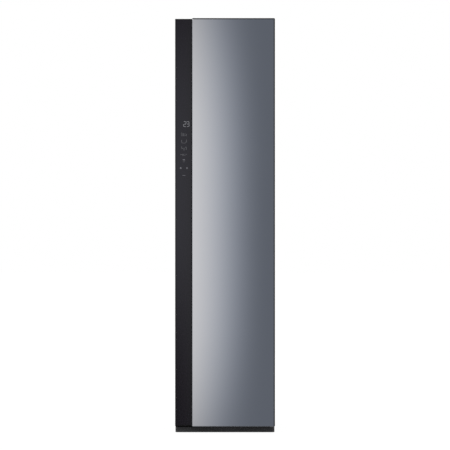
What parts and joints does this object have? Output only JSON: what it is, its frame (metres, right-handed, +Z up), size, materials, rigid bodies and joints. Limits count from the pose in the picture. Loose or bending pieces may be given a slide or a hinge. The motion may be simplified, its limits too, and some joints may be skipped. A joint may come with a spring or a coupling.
{
  "type": "clothes care steam cabinet",
  "caption": "Slim upright clothes care steam cabinet with a full-height mirror door, a touch strip, a shaking hanger bar, water tanks and a heat pump",
  "frame": {"origin": "on the floor under the middle of the whole cabinet's plan, the door included", "axes": "+Z up, the door faces -Y, +X to the right as seen from the front"},
  "size_m": [0.445, 0.585, 1.85],
  "materials": {
    "mirror": "polished",
    "strip_glass": "gloss",
    "trim": "satin",
    "case_plastic": "satin",
    "cabinet_paint": "satin",
    "plinth_plastic": "matte",
    "frame_plastic": "satin",
    "liner_plastic": "satin",
    "foam": "matte",
    "zinc_steel": "satin",
    "hinge_steel": "satin",
    "bearing_plastic": "satin",
    "rubber": "matte",
    "seal": "matte",
    "chrome_wire": "polished",
    "bar_metal": "satin",
    "tank_plastic": "gloss",
    "duct_plastic": "matte",
    "filter_plastic": "satin",
    "grille_plastic": "satin",
    "coil_aluminium": "satin",
    "copper": "satin",
    "black_enamel": "gloss",
    "motor_steel": "satin",
    "pulley_plastic": "satin",
    "boiler_plastic": "satin",
    "pump_plastic": "satin",
    "hose_rubber": "matte",
    "box_plastic": "matte",
    "circuit_board": "satin",
    "lamp_diffuser": "satin",
    "press_felt": "matte",
    "hanger_plastic": "satin",
    "screw_zinc": "gloss"
  },
  "bodies": {
    "cabinet": {"plinth": "plinth_plastic", "base_pan": "zinc_steel", "levelling_feet": "rubber", "side_panel_left": "cabinet_paint", "side_panel_right": "cabinet_paint", "back_panel": "zinc_steel", "top_cover": "case_plastic", "front_frame": "frame_plastic", "hinge_top": "hinge_steel", "hinge_bottom": "hinge_steel", "cabinet_screws": "screw_zinc", "cord_gland": "rubber", "insulation_panels": "foam", "liner_left": "liner_plastic", "liner_right": "liner_plastic", "liner_back": "liner_plastic", "liner_floor": "liner_plastic", "liner_ceiling": "liner_plastic", "interior_lamp": "lamp_diffuser", "tank_bay": "frame_plastic", "intake_duct": "duct_plastic", "heat_pump_duct": "duct_plastic", "evaporator": "coil_aluminium", "condenser": "coil_aluminium", "blower_housing": "duct_plastic", "blower_motor": "motor_steel", "outlet_grille": "grille_plastic", "steam_nozzle": "grille_plastic", "compressor": "black_enamel", "compressor_mounts": "rubber", "refrigerant_pipes": "copper", "steam_generator": "boiler_plastic", "water_hoses": "hose_rubber", "water_pumps": "pump_plastic", "control_box": "box_plastic", "mechanism_plate": "zinc_steel", "guide_rods": "chrome_wire", "shake_motor": "motor_steel", "drive_belt": "rubber"},
    "door": {"door_case": "case_plastic", "mirror_glass": "mirror", "mirror_trim": "trim", "control_strip": "strip_glass", "display_board": "circuit_board", "door_core": "foam", "door_liner": "liner_plastic", "door_gasket": "seal", "hinge_bushes": "bearing_plastic", "press_board": "press_felt"},
    "press_plate": {"press_plate": "press_felt"},
    "crank": {"crank_pulley": "pulley_plastic"},
    "motor_rotor": {"motor_pulley": "pulley_plastic"},
    "hanger_carriage": {"hanger_carriage": "bearing_plastic", "hanger_bar": "bar_metal"},
    "blower_wheel": {"blower_impeller": "duct_plastic"},
    "supply_tank": {"supply_tank": "tank_plastic"},
    "drain_tank": {"drain_tank": "tank_plastic"},
    "lint_filter": {"lint_filter": "filter_plastic"},
    "shelf": {"shelf": "chrome_wire"},
    "clothes_hanger": {"clothes_hanger": "hanger_plastic"}
  },
  "joints": [
    {"name": "door_hinge", "type": "hinge", "parent": "cabinet", "child": "door", "pos_m": [0.2095, -0.251, 0.925], "axis": [0, 0, 1], "range_deg": [0, 110]},
    {"name": "press_hinge", "type": "hinge", "parent": "door", "child": "press_plate", "pos_m": [0.14, -0.2225, 1.06], "axis": [0, 0, 1], "range_deg": [-75, 0]},
    {"name": "crank_turn", "type": "hinge", "parent": "cabinet", "child": "crank", "pos_m": [0, 0.01325, 1.786], "axis": [0, 0, 1], "range_deg": [-60, 60]},
    {"name": "hanger_slide", "type": "slide", "parent": "cabinet", "child": "hanger_carriage", "axis": [1, 0, 0], "range_m": [-0.0138, 0.0138]},
    {"name": "motor_spin", "type": "hinge", "parent": "cabinet", "child": "motor_rotor", "pos_m": [-0.105, 0.01325, 1.786], "axis": [0, 0, 1], "range_deg": [-200, 200]},
    {"name": "fan_spin", "type": "hinge", "parent": "cabinet", "child": "blower_wheel", "pos_m": [0, 0.11316, 0.2842], "axis": [0, 1, 0], "continuous": true},
    {"name": "supply_tank_slide", "type": "slide", "parent": "cabinet", "child": "supply_tank", "axis": [0, -1, 0], "range_m": [0, 0.027]},
    {"name": "drain_tank_slide", "type": "slide", "parent": "cabinet", "child": "drain_tank", "axis": [0, -1, 0], "range_m": [0, 0.027]},
    {"name": "filter_lift", "type": "slide", "parent": "cabinet", "child": "lint_filter", "axis": [0, 0, 1], "range_m": [0, 0.08]},
    {"name": "shelf_lift", "type": "slide", "parent": "cabinet", "child": "shelf", "axis": [0, 0, 1], "range_m": [0, 0.03]},
    {"name": "hanger_swing", "type": "hinge", "parent": "hanger_carriage", "child": "clothes_hanger", "pos_m": [0, 0.01325, 1.69203], "axis": [1, 0, 0], "range_deg": [-6, 6]}
  ],
  "couplings": [
    {"joint": "hanger_slide", "follows": "crank_turn", "m_per_rad": 0.01305},
    {"joint": "motor_spin", "follows": "crank_turn", "ratio": 3.2311}
  ]
}
